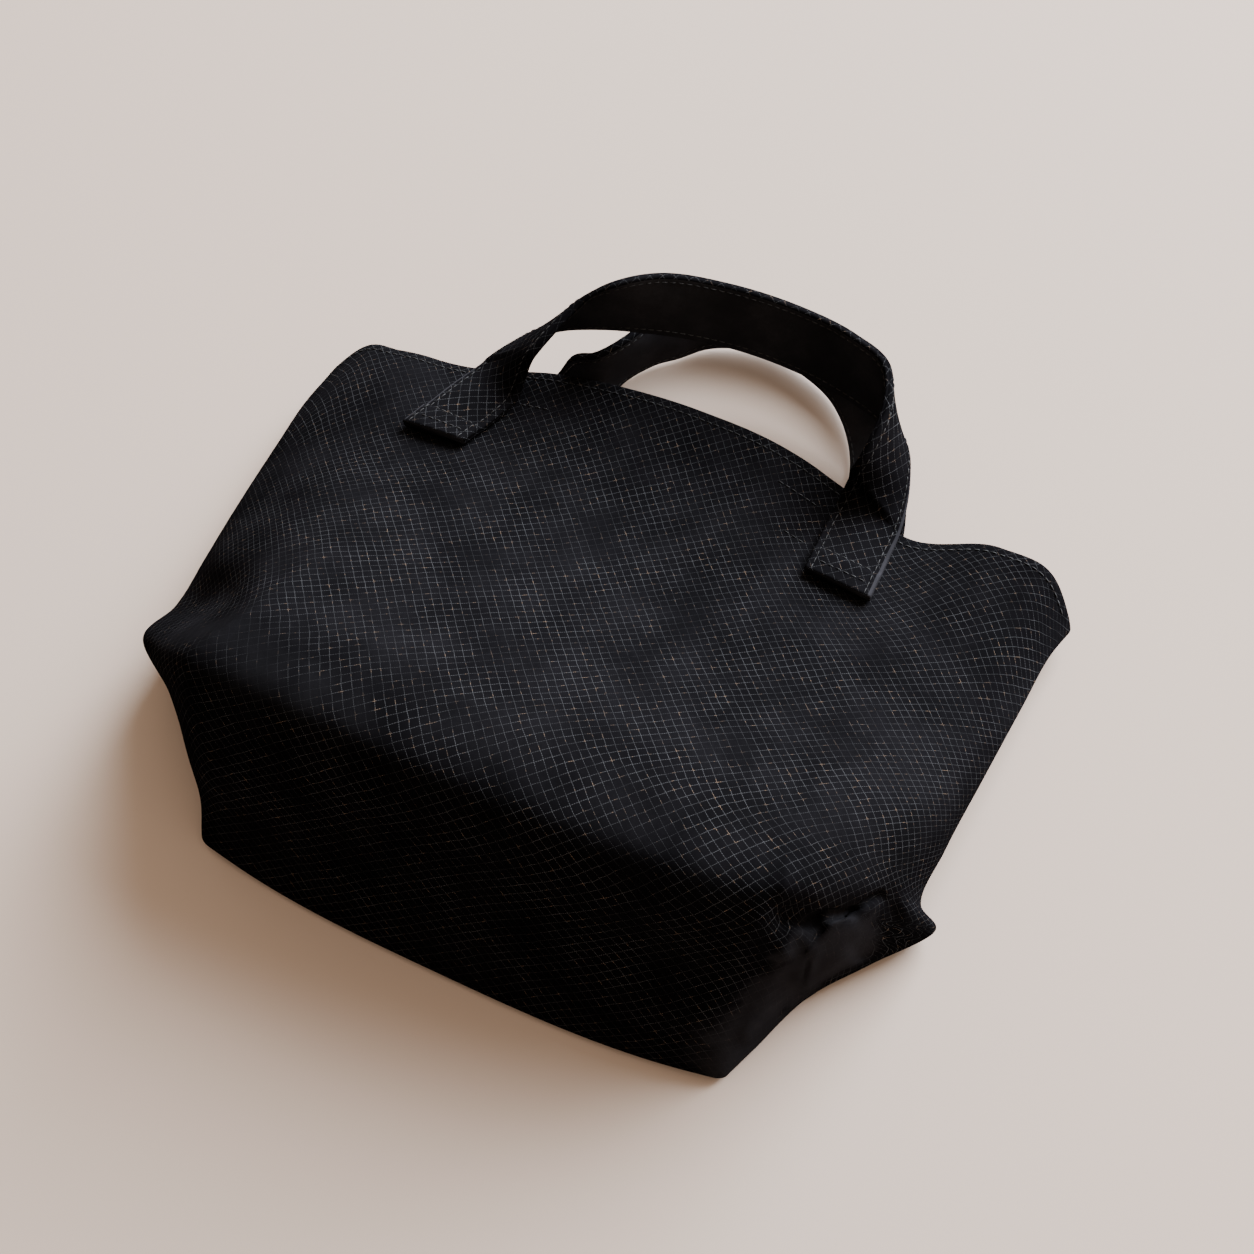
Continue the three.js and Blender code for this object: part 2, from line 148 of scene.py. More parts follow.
# bag body: the front and the base are one sheet, and the first lists, from along to roundRight, have
# one value for each line across it
bag = {
    "along": [0, 28, 56, 82, 102, 122, 152, 196, 242, 273, 295],  # from the floor edge to the rim
    "xLeft": [-104.5, -109.5, -118, -134, -153.5, -154.5, -154, -152.5, -151, -150, -147],  # side folds
    "xRight": [105, 111.5, 121.5, 137, 152, 145, 146, 149, 152.5, 155, 158.5],
    "yLeft": [-4, 9.5, 22, 41, 55, 72, 93, 117, 146, 169, 184],
    "yMiddle": [-10, 5, 19, 31.5, 45, 64.5, 90, 126, 167, 197, 218],
    "yRight": [-3.5, 11, 33, 51.5, 69, 75, 94, 120, 150, 172, 184],
    "zLeft": [3, 8, 15, 22, 26, 16, 14, 14, 13, 11, 9],
    "zRight": [3, 4, 6, 8, 9, 14, 16, 16, 14, 11, 9],
    "topLeft": [3, 27, 51, 73, 88, 88, 78, 56, 33, 21, 15],  # heights two thirds of the way out
    "topMiddle": [3, 27, 51, 73.5, 89, 88, 71, 43, 23, 16.5, 16],
    "topRight": [3, 25, 47, 64, 74, 72, 60, 43, 27, 19, 15],
    "turnLeft": [.95, .82, .76, .70, .62, .55, .52, .50, .50, .60, .90],  # where it turns down
    "turnRight": [.95, .84, .80, .76, .72, .72, .70, .62, .58, .65, .90],
    "roundLeft": [2.0, 1.4, 1.3, 1.2, 1.1, 1.1, 1.2, 1.4, 1.6, 1.8, 2.0],  # 1 straight, 2 elliptic
    "roundRight": [2.0, 1.5, 1.4, 1.2, 1.0, 1.5, 1.9, 1.9, 1.7, 1.8, 2.0],
    "outThird": 0.68,
    "sideBend": 3,  # the power by which a line bends back towards its ends
    "rim": 295,
    "waveAcross": [-1, -.93, -.82, -.64, -.35, 0, .25, .42, .60, .80, .94, 1],  # the rim's wave
    "waveOut": [0, 7.5, 3.3, -4, -2, 0, -3.7, -9.5, -15, 2.5, 7, 0.5],
    "waveStart": 204,
    "backAlong": [0, 102, 295],
    "backMiddle": [-10, 60, 189],
    "floorCorner": 5.5,
    "edgeRadius": 4,
    "foldSpread": 1.3,  # how far in the back turns up, as a multiple of the fold's height
    "foldLeast": 6,
    "lift": 5.2,  # of the back panel near the rim, where the back handle's ends lie under it
    "liftFrom": 196,
    "liftTo": 242,
    "wall": 1.5,
    "hem": 3.0,
    "hemDepth": 8,
    "foldFade": (0.96, 1),  # the creases fade out at the side folds
    "floorFade": (0, 10),
    "leastHeight": 1.5,
    "leftSlack": 0.8,  # the share of the left side's height that the flat leather leaves out
    "slackFrom": (0.45, 0.7),
    "finer": 1.2,  # the lattice on the panels, against that on the base
    "finerFrom": (85, 130),
    "acrossRuns": [(-1, -.93, 10), (-.93, -.7, 20), (-.7, .58, 64), (.58, .93, 78), (.93, 1, 18)],
    "alongRuns": [(0, 8, 6), (8, 56, 24), (56, 124, 80), (124, 275, 60), (275, 293.5, 26)],
    "rollRows": 6,
    "rollAlong": (0.7, 4),
    "cornerPower": 12,
}

# creases (down) and folds (up) of the crushed lower corners and of the panel: from, to, spread, rise
creases = {
    "corner pit": ((111, 48.5), (117, 51.5), 4, -7),
    "overhang, lower part": ((118, 53), (128, 60), 3, -2),
    "overhang, upper part": ((128, 60), (136, 70), 3, -2),
    "corner seam groove": ((117.5, 44), (118, 36), 3, -1.5),
    "base side fold": ((114.5, 39), (109.5, 14), 3, 3),
    "ear valley": ((138, 66), (134, 52), 4, -6),
    "left valley": ((-136, 77), (-114, 78), 10, -5),
}
fineCreases = {
    "pit mouth": ((112.5, 49), (117, 51.5), 2, -4),
    "crevice, lower part": ((117, 52), (128, 60), 1.1, -2.5),
    "crevice, upper part": ((128, 60), (134, 69), 1.1, -2.5),
    "corner seam": ((122, 51), (119, 36), 0.8, -0.8),
    "corner seam's filled side": ((119.5, 45), (119, 37), 2.4, 1.6),
}
# the folded flap of the boxed corner: a raised pad in plan, its corners in clockwise order
flap = {
    "corners": [(122.5, 53), (134.5, 68.5), (131.3, 53), (127.5, 41), (121, 35), (119.5, 44)],
    "edge": 1.0,
    "rise": 3,
}
# soft dents all over the front: size, depth and seed of each kind
softDents = {"broad": (46, 1.1, 3), "middle": (21, 0.45, 11), "small": (9, 0.14, 27)}
dents = {"halfFlat": 150, "shift": 500, "foldFade": (0.9, 1), "floorFade": (0, 20), "leastHeight": 0.8}

# the hollow is drawn in from the folds, and further in at the crushed corners
inside = {
    "fromFloorEdge": 3,
    "inset": 2.2,
    "hemEase": 1,
    "cornerExtra": 3,
    "cornerAcross": (0.6, 0.8),
    "cornerAlong": (120, 162),
    "sidePower": 24,
    "floorEase": 14,
    "leastGap": 0.2,
}


def fromBag(name, along):
    return smoothLine(bag["along"], bag[name], along)


def bySide(name, across, along):
    return np.where(across > 0, fromBag(name + "Right", along), fromBag(name + "Left", along))


def halfWidth(across, along):
    # the corners at the two ends of the floor edge are rounded off
    half = np.where(across > 0, fromBag("xRight", along), -fromBag("xLeft", along))
    near = np.clip(1 - along / bag["floorCorner"], 0, 1)
    return half - bag["floorCorner"] * (1 - np.sqrt(1 - near ** 2))


def flapRise(x, y):
    # how far a place is within the nearest edge of the outline, eased to the full rise
    corners = flap["corners"]
    within = np.full_like(x, np.inf)
    for (fromX, fromY), (toX, toY) in zip(corners, corners[1:] + corners[:1]):
        dx, dy = toX - fromX, toY - fromY
        within = np.minimum(within, (dy * (x - fromX) - dx * (y - fromY)) / math.hypot(dx, dy))
    return flap["rise"] * ease(-flap["edge"], flap["edge"], within)


def frontSheet(across, along, creased=True):
    # outside of the base and front panel: a crown across each line, turned down to the side folds
    # by a superellipse, bent back at its ends by a cubic, with the creases added to its height
    out = np.abs(across)
    middle = fromBag("yMiddle", along)
    x = across * halfWidth(across, along)
    y = middle + (bySide("y", across, along) - middle) * out ** bag["sideBend"]
    wave = smoothLine(bag["waveAcross"], bag["waveOut"], across)
    y = y + wave * ease(bag["waveStart"], bag["rim"], along)
    left, top, right = (fromBag(name, along) for name in ("topLeft", "topMiddle", "topRight"))
    held = np.clip(across / bag["outThird"], -1, 1)
    crown = top + (right - left) / 2 * held + ((right + left) / 2 - top) * held * held
    turn, power, fold = (bySide(name, across, along) for name in ("turn", "round", "z"))
    way = np.clip((out - turn) / (1 - turn), 0, 1)
    z = fold + (crown - fold) * (1 - way ** power) ** (1 / power)
    if creased:
        fade = (1 - ease(*bag["foldFade"], out)) * ease(*bag["floorFade"], along)
        for start, end, spread, rise in creases.values():
            z = z + rise * lineBump(x, y, start, end, spread) * fade
        z = z + flapRise(x, y) * fade
    return np.stack([x, y, np.maximum(z, bag["leastHeight"])], axis=-1)


def backSheet(across, along):
    # outside of the back panel: flat, turned up to the side folds and the floor edge by quarter
    # circles, and lifted near the rim
    out = np.abs(across)
    half = halfWidth(across, along)
    middle = smoothLine(bag["backAlong"], bag["backMiddle"], along)
    y = middle + (bySide("y", across, along) - middle) * out ** bag["sideBend"]
    fold = bySide("z", across, along)
    spread = bag["foldSpread"] * np.maximum(fold, bag["foldLeast"]) / half
    way = np.clip((out - 1 + spread) / spread, 0, 1)
    edge = fold * (1 - np.sqrt(1 - way * way))
    nearFloorEdge = np.clip(1 - along / bag["edgeRadius"], 0, 1)
    bend = bag["zLeft"][0] * (1 - np.sqrt(1 - nearFloorEdge ** 2))
    lift = bag["lift"] * ease(bag["liftFrom"], bag["liftTo"], along)
    return np.stack([across * half, y, np.maximum(np.maximum(edge, bend), lift)], axis=-1)


def leatherRelief(points, across, along):
    # soft dents from three sizes of noise, and the fine creases, faded out at the folds
    x, y = points[..., 0], points[..., 1]
    u, v = across * dents["halfFlat"] + dents["shift"], along + dents["shift"]
    rise = sum(deep * softNoise(u, v, size, seed) for size, deep, seed in softDents.values())
    rise = rise * (1 - ease(*dents["foldFade"], np.abs(across))) * ease(*dents["floorFade"], along)
    for start, end, spread, deep in fineCreases.values():
        rise = rise + deep * lineBump(x, y, start, end, spread)
    return rise


def bagGrids():
    # the outside of both sheets, with the relief added along the front's normals
    across = stations(bag["acrossRuns"])[:, None]
    along = stations(bag["alongRuns"])[None, :]
    a, b = np.broadcast_arrays(across, along)
    front, back = frontSheet(a, b), backSheet(a, b)
    front = front + gridNormals(front) * leatherRelief(front, a, b)[..., None]
    front[..., 2] = np.maximum(front[..., 2], dents["leastHeight"])
    return across[:, 0], along[0], front, back


def flatMap(points, across, along):
    # the place on the flat leather: the length along each line from the middle, and along the sheet;
    # the lattice is a little finer on the panels than on the base, and drawn out on the left side
    slack = 1 - bag["leftSlack"] * ease(*bag["slackFrom"], -(across[1:] + across[:-1]) / 2)
    steps = np.diff(points, axis=0)
    steps[..., 2] *= slack[:, None]
    step = np.linalg.norm(steps, axis=-1)
    run = np.concatenate([np.zeros((1, points.shape[1])), np.cumsum(step, axis=0)])
    middle = np.argmin(np.abs(points[:, 0, 0]))
    fine, start, end = bag["finer"], *bag["finerFrom"]
    share = np.clip((along - start) / (end - start), 0, 1)
    length = along + (fine - 1) * (share ** 2 / 2 * (end - start) + np.maximum(along - end, 0))
    wide = (run - run[middle:middle + 1]) * (1 + (fine - 1) * share)
    return np.stack([wide, np.broadcast_to(length, run.shape)], axis=-1)


def insideGrids(across, along):
    # front and back drawn in by the wall, meeting in the middle at the side folds and floor edge
    across, along = across[::2], along[::2]
    start = inside["fromFloorEdge"]
    a, b = np.meshgrid(across, start + along * (bag["rim"] - 2 * start) / along[-1], indexing="ij")
    drawn = a * (1 - inside["inset"] / halfWidth(a, b))
    hemStart = bag["rim"] - bag["hemDepth"]
    hem = ease(hemStart - inside["hemEase"], hemStart + inside["hemEase"], b)
    thick = bag["wall"] + (bag["hem"] - bag["wall"]) * hem
    plain = frontSheet(drawn, b, False)
    dip = frontSheet(drawn, b)[..., 2] - plain[..., 2]
    front = plain - gridNormals(plain) * thick[..., None]
    atCorner = ease(*inside["cornerAcross"], np.abs(a)) * (1 - ease(*inside["cornerAlong"], b))
    front[..., 2] += np.minimum(dip, 0) - inside["cornerExtra"] * atCorner
    back = backSheet(drawn, b)
    back[..., 2] += thick
    front[..., 2] = np.maximum(front[..., 2], back[..., 2] + inside["leastGap"])
    middle = (front + back) / 2
    fromFloor = 1 - np.clip(b / inside["floorEase"], 0, 1)
    opened = np.sqrt(1 - np.abs(a) ** inside["sidePower"]) * np.sqrt(1 - fromFloor ** 2)
    opened = (opened * (along > 0))[..., None]
    return middle + (front - middle) * opened, middle + (back - middle) * opened, b


def rimRoll(outer, inner, outward):
    # a half round from the outer rim to the inner one, standing out along the sheet
    turn = np.linspace(0, math.pi, bag["rollRows"] + 1)[None, 1:, None]
    centre, arm = (outer + inner) / 2, (outer - inner) / 2
    reach = outward * np.linalg.norm(arm, axis=-1, keepdims=True)
    return centre[:, None] + arm[:, None] * np.cos(turn) + reach[:, None] * np.sin(turn)


def gridFaces(rows, columns, first, flip):
    index = first + np.arange(rows * columns).reshape(rows, columns)
    corners = [index[:-1, :-1], index[1:, :-1], index[1:, 1:], index[:-1, 1:]]
    quads = np.stack(corners, axis=-1).reshape(-1, 4)
    return quads[:, ::-1] if flip else quads


def stripFaces(outerRow, innerRow, flip):
    # joins a row to one with half as many steps, by three triangles for each of its steps
    first, mid, last = outerRow[:-2:2], outerRow[1::2], outerRow[2::2]
    here, ahead = innerRow[:-1], innerRow[1:]
    thirds = (first, mid, here), (mid, ahead, here), (mid, last, ahead)
    faces = np.concatenate([np.stack(third, axis=-1) for third in thirds])
    return faces[:, ::-1] if flip else faces


def meshPiece(name, points, faces, flat, materials, slots=None, merge=True):
    # points are in millimetres; flat holds one place on the flat leather for each point
    mesh = bpy.data.meshes.new(name)
    places = (points - np.array([0, restMiddleY, 0])) * mm
    lists = [part.tolist() for part in faces]
    mesh.from_pydata(places.tolist(), [], sum(lists, []))
    corners = np.concatenate([part.ravel() for part in faces])
    layer = mesh.uv_layers.new(name="flatLeather")
    layer.data.foreach_set("uv", (flat[corners] * mm).ravel())
    for material in materials:
        mesh.materials.append(material)
    if slots is not None:
        mesh.polygons.foreach_set("material_index", slots)
    mesh.polygons.foreach_set("use_smooth", np.ones(len(mesh.polygons), bool))
    if merge:
        work = bmesh.new()
        work.from_mesh(mesh)
        bmesh.ops.remove_doubles(work, verts=work.verts, dist=mergeWithin)
        work.to_mesh(mesh)
        work.free()
    mesh.update()
    piece = bpy.data.objects.new(name, mesh)
    bpy.context.scene.collection.objects.link(piece)
    return piece


def bagBody(material):
    # the front and the back are each an outside, a roll over the rim and an inside
    across, along, front, back = bagGrids()
    innerFront, innerBack, innerAlong = insideGrids(across, along)
    # the rolls run on the way that the sheets end, and lean together near the rim's two corners
    tangents = [unit(grid[:, -1] - grid[:, -4]) for grid in (front, back)]
    shared = unit(tangents[0] + tangents[1])
    near = (np.abs(across) ** bag["cornerPower"])[:, None]
    sides = []
    for grid, inner, tangent in ((front, innerFront, tangents[0]), (back, innerBack, tangents[1])):
        # the inner rim at every line: the inner grid has every other one
        rim = np.stack([np.interp(across, across[::2], inner[:, -1, k]) for k in range(3)], axis=-1)
        roll = rimRoll(grid[:, -1], rim, unit(tangent * (1 - near) + shared * near))
        sides.append(np.concatenate([grid, roll], axis=1))
    rollAlong = along[-1] + np.linspace(*bag["rollAlong"], bag["rollRows"])
    allAlong = np.concatenate([along, rollAlong])
    points, faces, flat, first = [], [], [], 0
    rows = []
    for grid, flip in zip(sides, (False, True)):
        faces.append(gridFaces(*grid.shape[:2], first, flip))
        rows.append(first + np.arange(grid.shape[0]) * grid.shape[1] + grid.shape[1] - 1)
        points.append(grid.reshape(-1, 3))
        flat.append(flatMap(grid, across, allAlong[None, :]).reshape(-1, 2))
        first += len(points[-1])
    for grid, row, flip in zip((innerFront, innerBack), rows, (True, False)):
        grid = grid[:, :-1]
        faces.append(gridFaces(*grid.shape[:2], first, flip))
        innerRow = first + np.arange(grid.shape[0]) * grid.shape[1] + grid.shape[1] - 1
        faces.append(stripFaces(row, innerRow, not flip))
        points.append(grid.reshape(-1, 3))
        flat.append(flatMap(grid, across[::2], innerAlong[:, :-1]).reshape(-1, 2))
        first += len(points[-1])
    body = meshPiece("bagLeather", np.concatenate(points), faces, np.concatenate(flat), [material])
    print("bag body:", len(body.data.polygons), "faces")
    return body, across, along, front, back


# handles: stations of inner or lower edge (x, y, z) and outer or upper edge (x, y, z), left to right
handle = {
    "width": 26,
    "thick": 3.2,
    "endThick": 4.6,
    "endFold": 10,  # from each end, where the leather is folded under
    "edgeRadius": 1.2,
    "layerGroove": 0.35,
    "gap": 0.3,
    "sewn": 22,  # from each end: on the panel up to here
    "leave": 50,  # and free of it from here
    "rings": 240,
    "facePoints": 18,
    "cornerPoints": 5,
    "crown": 0.12,
    "stitchIn": 2.2,
    "stitchDip": 0.16,
    "dipSpread": 0.9,
    "offFloor": 0.1,
    "atRim": 0.2,  # this near the rim, the strap counts as beyond it
    "foldEase": 0.5,
    "searchFrom": 92.0,  # along the sheet, beyond the ridge
    "searchRounds": 5,
    "halvings": 16,
}
frontHandle = [
    (-97, 168.5, 22, -71, 169.5, 22), (-94, 180, 20, -68.5, 178, 21), (-88.3, 197, 17, -64.5, 191, 23),
    (-82, 209, 19, -61, 200.5, 32), (-73.5, 217.5, 22, -56.5, 208, 39.5), (-61.5, 224.5, 26, -46.5, 229, 46),
    (-40.5, 229.5, 31, -34, 236, 55.5), (-20.5, 234, 31, -19.5, 246, 54), (5, 240.5, 25, 4, 253.5, 47.5),
    (30.5, 242, 20, 32.5, 255.5, 42.5), (52, 238, 20, 53, 251.5, 43), (70, 232, 21, 69, 242.5, 45),
    (81.5, 225.5, 22, 74.5, 226.5, 47), (88, 214, 20, 72.5, 208.5, 40.5), (90.3, 202.5, 18, 69, 201.5, 30),
    (92, 188, 18, 66.5, 190, 19), (92.5, 165, 20, 66.5, 168, 20),
]
backHandle = [
    (-58, 157, 2, -84, 157, 2), (-57, 175, 2, -83, 177, 2), (-51, 194, 2, -75, 202, 2),
    (-45, 201.5, 2, -68, 209, 2), (-38, 209, 2, -60, 217, 2), (-35.5, 223, 2, -38.5, 221.5, 26),
    (-26.5, 235, 2, -30.5, 231.5, 27.5), (-17.5, 241.5, 2, -23.5, 245, 27), (-9, 248.5, 2, -14, 255.5, 26.5),
    (12, 254, 2, 10, 263.5, 26), (32, 250, 2, 37.5, 262.5, 24), (46, 243, 2, 58.5, 252.5, 23),
    (56, 233, 2, 72, 239.5, 21.5), (63, 220, 2, 83, 223.5, 18.5), (66, 207, 2, 89, 207, 12),
    (66, 193, 2, 92, 194, 2), (66, 186, 2, 92, 186.5, 2), (66, 157, 2, 92, 157, 2),
]


def placeOnFront(x, y):
    # the front panel's grid place under each place in plan, by halving along it and refining across
    across = x / halfWidth(x, bag["rim"])
    along = np.full_like(x, bag["rim"])
    for attempt in range(handle["searchRounds"]):
        low, high = np.full_like(x, handle["searchFrom"]), np.full_like(x, float(bag["rim"]))
        for halving in range(handle["halvings"]):
            along = (low + high) / 2
            before = frontSheet(across, along, False)[..., 1] < y
            low, high = np.where(before, along, low), np.where(before, high, along)
        across = x / halfWidth(x, along)
    return np.clip(across, -1, 1), along


def strapSection():
    # across the strap and through it: the outer face, a rounded edge with a groove between the two
    # layers, the inner face and the other edge
    half, thick, radius = handle["width"] / 2, handle["thick"] / 2, handle["edgeRadius"]
    face = np.linspace(-1, 1, handle["facePoints"])
    offRow = (np.abs(face) * half - (half - handle["stitchIn"])) / handle["dipSpread"]
    crown = handle["crown"] * (1 - face ** 2) - handle["stitchDip"] * np.exp(-offRow ** 2)
    corner = np.linspace(0, math.pi / 2, handle["cornerPoints"])[1:]
    up = np.stack([face * (half - radius), thick + crown], axis=-1)
    sine, cosine = np.sin(corner), np.cos(corner)
    quarter = np.stack([half - radius + radius * sine, thick - radius + radius * cosine], axis=-1)
    groove = np.array([[half - handle["layerGroove"], 0.0]])
    edge = np.concatenate([quarter, groove, quarter[::-1] * [1, -1]])
    down = up[::-1] * [1, -1]
    return np.concatenate([up, edge, down, edge[::-1] * [-1, 1]])


def layStrap(points, through, held, thick):
    # the sewn ends follow the front panel, and nothing goes through it
    across, along = placeOnFront(points[..., 0], points[..., 1])
    resting = frontSheet(across, along)[..., 2] + handle["gap"] + thick / 2
    z = points[..., 2]
    laid = np.maximum(held * (resting + through) + (1 - held) * z, resting - thick / 2)
    return np.where(along > bag["rim"] - handle["atRim"], z, laid)


def strapPath(rows):
    # a smooth line through the middles of the stations, by their running length, with the side
    # direction at each ring and the normal square to it and to the heading
    rows = np.array(rows, float)
    inner, outer = rows[:, :3], rows[:, 3:]
    middles = (inner + outer) / 2
    sides = unit(outer - inner)
    run = np.concatenate([[0], np.cumsum(np.linalg.norm(np.diff(middles, axis=0), axis=-1))])
    total = run[-1]
    through = lambda parts, at: np.stack([smoothLine(run, parts[:, k], at) for k in range(3)], axis=-1)
    at = np.linspace(0, total, handle["rings"] + 1)
    middle = through(middles, at)
    heading = through(middles, np.minimum(at + 1, total)) - through(middles, np.maximum(at - 1, 0))
    side = unit(through(sides, at))
    return at, total, middle, side, unit(np.cross(side, heading))


def handleStrap(name, rows, laid, materials):
    # the section carried along the path, thicker at its folded ends
    at, total, middle, side, normal = strapPath(rows)
    section = strapSection()
    toEnd = np.minimum(at, total - at)
    foldFrom, foldTo = handle["endFold"] - handle["foldEase"], handle["endFold"] + handle["foldEase"]
    folded = 1 - ease(foldFrom, foldTo, toEnd)
    thick = handle["thick"] + (handle["endThick"] - handle["thick"]) * folded
    # u across and v through the strap, for every ring
    u = section[None, :, 0]
    v = section[None, :, 1] * (thick / handle["thick"])[:, None]
    rings = middle[:, None] + side[:, None] * u[..., None] + normal[:, None] * v[..., None]
    if laid:
        held = 1 - ease(handle["sewn"], handle["leave"], toEnd)
        rings[..., 2] = layStrap(rings, v, held[:, None], thick[:, None])
    rings[..., 2] += np.maximum(handle["offFloor"] - rings[..., 2].min(axis=1, keepdims=True), 0)
    count = len(section)
    closed = np.concatenate([rings, rings[:, :1]], axis=1)
    flatAt = at + bag["rim"]
    # the lattice runs on over the edge, so the section is unrolled along its length
    steps = np.linalg.norm(np.diff(section, axis=0, append=section[:1]), axis=-1)
    flatAcross = section[0, 0] + np.concatenate([[0], np.cumsum(steps)])
    flat = np.stack(np.broadcast_arrays(flatAcross[None, :], flatAt[:, None]), axis=-1)
    faces = [gridFaces(len(at), count + 1, 0, True)]
    slots = np.tile((np.arange(count) >= count // 2).astype(int), len(at) - 1)
    points = [closed.reshape(-1, 3)]
    flats = [flat.reshape(-1, 2)]
    caps = []
    for ring, flip in ((0, True), (len(at) - 1, False)):
        # the end of the strap, closed by a fan round its middle
        start = sum(len(part) for part in points)
        points.append(np.concatenate([rings[ring], rings[ring].mean(axis=0, keepdims=True)]))
        flats.append(np.zeros((count + 1, 2)) + [0, flatAt[ring]])
        edge = start + np.arange(count)
        fan = np.stack([edge, np.roll(edge, -1), np.full(count, start + count)], axis=-1)
        caps.append(fan[:, ::-1] if flip else fan)
    slots = np.concatenate([slots, np.ones(2 * count, int)])
    strap = meshPiece(name, np.concatenate(points), faces + caps, np.concatenate(flats), materials, slots)
    print(name, len(strap.data.polygons), "faces", round(total), "mm long")
    return strap, rings, at, total


# stitches
stitch = {
    "length": 2.3,
    "pitch": 3.0,
    "radius": 0.21,
    "sides": 6,
    "ahead": 0.6,  # the heading is taken over this much before and after
    "proudOnBody": 0.12,
    "proudOnStrap": 0.1,
    "endRows": (5, 11),  # from each end of the strap
    "endPointsIn": 2,  # points of the strap's face that these rows leave out at each edge
    "rimIn": 4.5,
    "rimSpan": 0.98,  # the share of the width that the rim's rows take up
    "rowPoints": 400,
    # short rows on the front panel: across from, across to, and along the sheet
    "shortRows": [(0.276, 0.383, 280), (0.336, 0.407, 260), (-0.427, -0.335, 276)],
}
# a stitch from end to end: place in its length, width and height in its radius
stitchShape = [(-0.5, 0.25, -0.8), (-0.36, 0.85, 0.1), (0.0, 1.0, 0.5), (0.36, 0.85, 0.1), (0.5, 0.25, -0.8)]


def stitchRows(name, rows, material):
    # each row is a path and the leather's normals along it; a stitch is a short thread whose ends
    # go down into the leather
    shape = np.array(stitchShape)
    sides = stitch["sides"]
    turn = np.arange(sides) * 2 * math.pi / sides
    points, faces, first = [], [], 0
    for path, normals in rows:
        run = np.concatenate([[0], np.cumsum(np.linalg.norm(np.diff(path, axis=0), axis=-1))])
        count = int((run[-1] - stitch["length"]) / stitch["pitch"]) + 1
        middles = (np.arange(count) - (count - 1) / 2) * stitch["pitch"] + run[-1] / 2
        pick = lambda values, at: np.stack([np.interp(at, run, values[:, k]) for k in range(3)], axis=-1)
        centre, up = pick(path, middles), unit(pick(normals, middles))
        ahead = unit(pick(path, middles + stitch["ahead"]) - pick(path, middles - stitch["ahead"]))
        aside = unit(np.cross(up, ahead))
        up = np.cross(ahead, aside)
        axis = centre[:, None] + ahead[:, None] * (shape[:, 0] * stitch["length"])[None, :, None]
        axis = axis + up[:, None] * (shape[:, 2] * stitch["radius"])[None, :, None]
        wide = (shape[:, 1] * stitch["radius"])[None, :, None, None]
        cosine, sine = np.cos(turn)[None, None, :, None], np.sin(turn)[None, None, :, None]
        tube = axis[:, :, None] + wide * (aside[:, None, None] * cosine + up[:, None, None] * sine)
        rings = len(shape)
        index = first + np.arange(count * rings * sides).reshape(count, rings, sides)
        beside = np.roll(index, -1, axis=2)
        corners = [index[:, :-1], index[:, 1:], beside[:, 1:], beside[:, :-1]]
        quads = np.stack(corners, axis=-1).reshape(-1, 4)
        faces += [quads[:, ::-1], index[:, 0], index[:, -1, ::-1]]
        points.append(tube.reshape(-1, 3))
        first += count * rings * sides
    places = np.concatenate(points)
    piece = meshPiece(name, places, faces, np.zeros((len(places), 2)), [material], merge=False)
    print(name, len(piece.data.polygons), "faces")
    return piece


# materials

def newGroup(name, inputs, outputs):
    group = bpy.data.node_groups.new(name, "ShaderNodeTree")
    for label, kind, value in inputs:
        socket = group.interface.new_socket(name=label, in_out="INPUT", socket_type=kind)
        if value is not None:
            socket.default_value = value
    for label, kind in outputs:
        group.interface.new_socket(name=label, in_out="OUTPUT", socket_type=kind)
    return group, group.nodes.new("NodeGroupInput"), group.nodes.new("NodeGroupOutput")


def wire(tree, value, socket):
    # a number or colour is set on the socket, and a socket is linked to it
    if isinstance(value, bpy.types.NodeSocket):
        tree.links.new(value, socket)
    else:
        socket.default_value = value


def calc(tree, operation, *values):
    node = tree.nodes.new("ShaderNodeMath")
    node.operation = operation
    for value, socket in zip(values, node.inputs):
        wire(tree, value, socket)
    return node.outputs[0]


def ramp(tree, value, low, high, toLow=0.0, toHigh=1.0):
    # eases from toLow at low to toHigh at high
    node = tree.nodes.new("ShaderNodeMapRange")
    node.interpolation_type = "SMOOTHSTEP"
    labels = "Value", "From Min", "From Max", "To Min", "To Max"
    for given, label in zip((value, low, high, toLow, toHigh), labels):
        wire(tree, given, node.inputs[label])
    return node.outputs[0]


def noise(tree, vector, scale, detail=2.0, rough=0.5):
    node = tree.nodes.new("ShaderNodeTexNoise")
    wire(tree, vector, node.inputs["Vector"])
    wire(tree, scale, node.inputs["Scale"])
    node.inputs["Detail"].default_value = detail
    node.inputs["Roughness"].default_value = rough
    return node.outputs["Fac"]


def mixColour(tree, share, first, second):
    node = tree.nodes.new("ShaderNodeMix")
    node.data_type = "RGBA"
    wire(tree, share, node.inputs[0])
    wire(tree, first, node.inputs[6])
    wire(tree, second, node.inputs[7])
    return node.outputs[2]


# the lattice of worn lines: lengths in metres, noise as scale, detail and roughness
lattice = {
    "pitch": 0.0035,
    "width": 0.00028,
    "angle": math.radians(40),
    "worn": 0.5,  # more wears more of the lines away
    "wornSpan": (0.2, 0.14),
    "leastKept": 0.22,
    "wobble": 0.0007,
    "wobbleNoise": (160.0, 1.0),
    "patchNoise": (34.0, 4.0, 0.6),
    "faintNoise": (150.0, 1.0),
    "faintSpan": (0.3, 0.6, 0.45, 1.0),
    "speckNoise": (900.0, 1.0),
    "specks": 2.2,
    "copperNoise": (420.0, 0.0),
    "copperSpan": (0.64, 0.74),
    "dash": 0.00088,
    "dashSpan": (0.1, 1.5),
    "dashShare": 0.75,
    "softEdge": 0.3,
}


